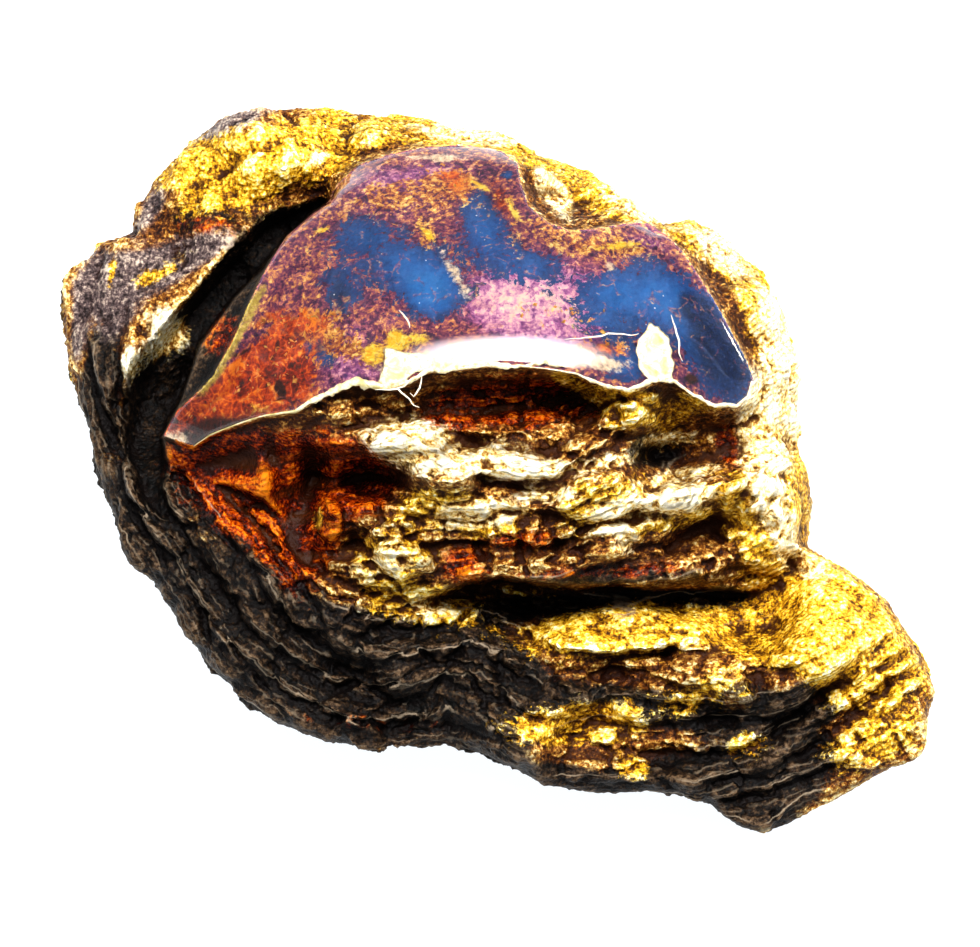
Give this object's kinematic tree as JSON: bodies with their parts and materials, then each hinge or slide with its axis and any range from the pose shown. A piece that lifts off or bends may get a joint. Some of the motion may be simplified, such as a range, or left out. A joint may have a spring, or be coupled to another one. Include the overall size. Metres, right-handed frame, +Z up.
{
  "type": "raw amber piece",
  "caption": "Raw amber nodule: layered crust, broken face, side lobe and deep crevice round a raised cap with a domed, polished, see-through window.",
  "frame": {"origin": "on the table under the middle of the nodule's bounding box", "axes": "+Z up from the table the nodule lies on, +X along its longest extent towards the lower right lobe's end, -Y towards the viewer of the picture"},
  "size_m": [0.0482, 0.0423, 0.0233],
  "materials": {
    "amber_crust": "weathered: gold and grainy above and to the right, dark brown and finely layered at the left and below, glossy red-brown where broken",
    "clear_amber": "ground and polished, see-through, IOR 1.54, with a blue and purple glow and gold flecks inside"
  },
  "bodies": {
    "root": {"amber_piece": "amber_crust"}
  },
  "joints": []
}
